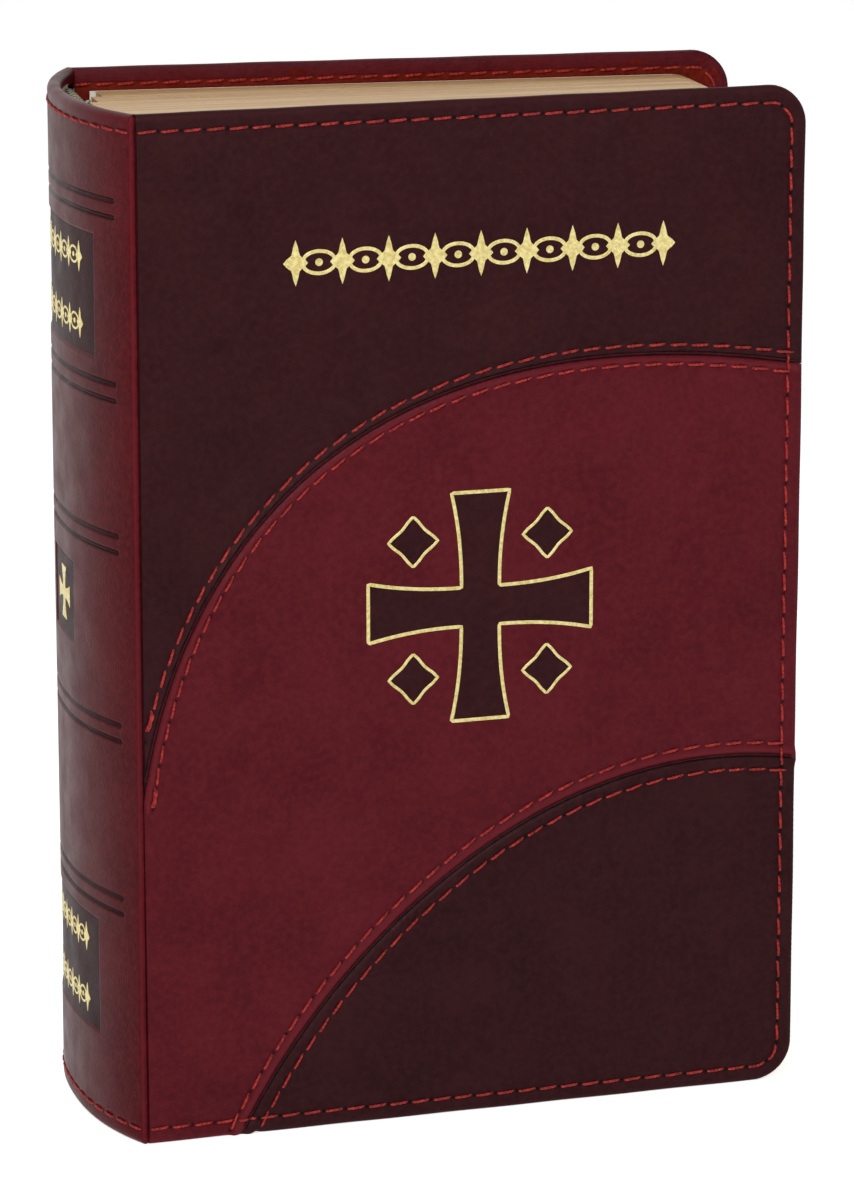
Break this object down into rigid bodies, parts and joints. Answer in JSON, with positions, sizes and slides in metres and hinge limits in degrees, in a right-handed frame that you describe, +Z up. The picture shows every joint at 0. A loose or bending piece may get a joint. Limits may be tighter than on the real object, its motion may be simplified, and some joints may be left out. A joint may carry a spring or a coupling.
{
  "type": "prayer book",
  "caption": "Thick leather-bound prayer book standing upright, with curved sewn cover panels, a plain gold cross emblem, a rounded banded spine, gilt page edges, and covers and pages that open",
  "frame": {"origin": "centre of the bottom of the bounding box of the closed book standing on its bottom edge", "axes": "+Z up along the spine, the longest extent; front cover faces -Y; spine at -X, fore-edge at +X; -Y is also the side of the shortest extent, the thickness"},
  "size_m": [0.1264, 0.0595, 0.178],
  "materials": {
    "red_leather": "satin grained oxblood leather",
    "dark_leather": "satin dark brown-red leather",
    "spine_leather": "satin oxblood leather, rubbed and a little greyer on the outside of the curve",
    "board": "dense grey-brown binder's board",
    "cloth": "open-weave mull with glue",
    "paper": "smooth off-white lining paper",
    "gilt_pages": "thin leaves with dull gilt edges",
    "thread": "waxed red sewing thread",
    "gold_foil": "hot-stamped gold foil",
    "headband": "gold and black striped silk band"
  },
  "bodies": {
    "spine": {"spine_cover": "spine_leather", "spine_card": "board", "spine_lining": "cloth", "headband_top": "headband", "headband_bottom": "headband", "spine_thread_top": "thread", "spine_thread_bottom": "thread", "upper_spine_label": "dark_leather", "upper_spine_label_foil": "gold_foil", "middle_spine_label": "dark_leather", "middle_spine_label_foil": "gold_foil", "lower_spine_label": "dark_leather", "lower_spine_label_foil": "gold_foil"},
    "front_cover": {"front_upper_panel": "dark_leather", "front_centre_panel": "red_leather", "front_lower_panel": "dark_leather", "front_board": "board", "front_turn_in": "red_leather", "front_pastedown": "paper", "front_edge_thread": "thread", "upper_seam_outer_thread": "thread", "upper_seam_inner_thread": "thread", "upper_seam_welt": "red_leather", "lower_seam_outer_thread": "thread", "lower_seam_inner_thread": "thread", "lower_seam_welt": "red_leather", "title_ornament_foil": "gold_foil", "emblem_cross_inlay": "dark_leather", "emblem_cross_foil": "gold_foil", "emblem_lozenge_1": "dark_leather", "emblem_lozenge_2": "dark_leather", "emblem_lozenge_3": "dark_leather", "emblem_lozenge_4": "dark_leather", "emblem_lozenge_foil_1": "gold_foil", "emblem_lozenge_foil_2": "gold_foil", "emblem_lozenge_foil_3": "gold_foil", "emblem_lozenge_foil_4": "gold_foil"},
    "back_cover": {"back_panel": "red_leather", "back_board": "board", "back_turn_in": "red_leather", "back_pastedown": "paper", "back_edge_thread": "thread"},
    "front_flyleaf": {"front_flyleaf": "paper"},
    "page_section_1": {"page_section_1": "gilt_pages"},
    "page_section_2": {"page_section_2": "gilt_pages"},
    "page_section_3": {"page_section_3": "gilt_pages"},
    "page_section_4": {"page_section_4": "gilt_pages"},
    "back_flyleaf": {"back_flyleaf": "paper"},
    "page_section_8": {"page_section_8": "gilt_pages"},
    "page_section_7": {"page_section_7": "gilt_pages"},
    "page_section_6": {"page_section_6": "gilt_pages"},
    "page_section_5": {"page_section_5": "gilt_pages"}
  },
  "joints": [
    {"name": "front_cover_hinge", "type": "hinge", "parent": "spine", "child": "front_cover", "pos_m": [-0.05562, -0.02925, 0], "axis": [0, 0, -1], "range_deg": [0, 170]},
    {"name": "front_flyleaf_turn", "type": "hinge", "parent": "spine", "child": "front_flyleaf", "pos_m": [-0.05162, -0.02624, 0], "axis": [0, 0, -1], "range_deg": [0, 107]},
    {"name": "section_1_turn", "type": "hinge", "parent": "spine", "child": "page_section_1", "pos_m": [-0.05062, -0.02564, 0], "axis": [0, 0, -1], "range_deg": [0, 81]},
    {"name": "section_2_turn", "type": "hinge", "parent": "spine", "child": "page_section_2", "pos_m": [-0.05262, -0.01923, 0], "axis": [0, 0, -1], "range_deg": [0, 30]},
    {"name": "section_3_turn", "type": "hinge", "parent": "spine", "child": "page_section_3", "pos_m": [-0.05412, -0.01282, 0], "axis": [0, 0, -1], "range_deg": [0, 13]},
    {"name": "section_4_turn", "type": "hinge", "parent": "spine", "child": "page_section_4", "pos_m": [-0.05512, -0.00641, 0], "axis": [0, 0, -1], "range_deg": [0, 7]},
    {"name": "back_cover_hinge", "type": "hinge", "parent": "spine", "child": "back_cover", "pos_m": [-0.05562, 0.02925, 0], "axis": [0, 0, 1], "range_deg": [0, 170]},
    {"name": "back_flyleaf_turn", "type": "hinge", "parent": "spine", "child": "back_flyleaf", "pos_m": [-0.05162, 0.02624, 0], "axis": [0, 0, 1], "range_deg": [0, 107]},
    {"name": "section_8_turn", "type": "hinge", "parent": "spine", "child": "page_section_8", "pos_m": [-0.05062, 0.02564, 0], "axis": [0, 0, 1], "range_deg": [0, 81]},
    {"name": "section_7_turn", "type": "hinge", "parent": "spine", "child": "page_section_7", "pos_m": [-0.05262, 0.01923, 0], "axis": [0, 0, 1], "range_deg": [0, 30]},
    {"name": "section_6_turn", "type": "hinge", "parent": "spine", "child": "page_section_6", "pos_m": [-0.05412, 0.01282, 0], "axis": [0, 0, 1], "range_deg": [0, 13]},
    {"name": "section_5_turn", "type": "hinge", "parent": "spine", "child": "page_section_5", "pos_m": [-0.05512, 0.00641, 0], "axis": [0, 0, 1], "range_deg": [0, 7]}
  ],
  "couplings": [
    {"joint": "front_flyleaf_turn", "follows": "front_cover_hinge", "ratio": 0.62},
    {"joint": "section_1_turn", "follows": "front_cover_hinge", "ratio": 0.47},
    {"joint": "section_2_turn", "follows": "front_cover_hinge", "ratio": 0.17},
    {"joint": "section_3_turn", "follows": "front_cover_hinge", "ratio": 0.07},
    {"joint": "section_4_turn", "follows": "front_cover_hinge", "ratio": 0.03},
    {"joint": "back_flyleaf_turn", "follows": "back_cover_hinge", "ratio": 0.62},
    {"joint": "section_8_turn", "follows": "back_cover_hinge", "ratio": 0.47},
    {"joint": "section_7_turn", "follows": "back_cover_hinge", "ratio": 0.17},
    {"joint": "section_6_turn", "follows": "back_cover_hinge", "ratio": 0.07},
    {"joint": "section_5_turn", "follows": "back_cover_hinge", "ratio": 0.03}
  ]
}
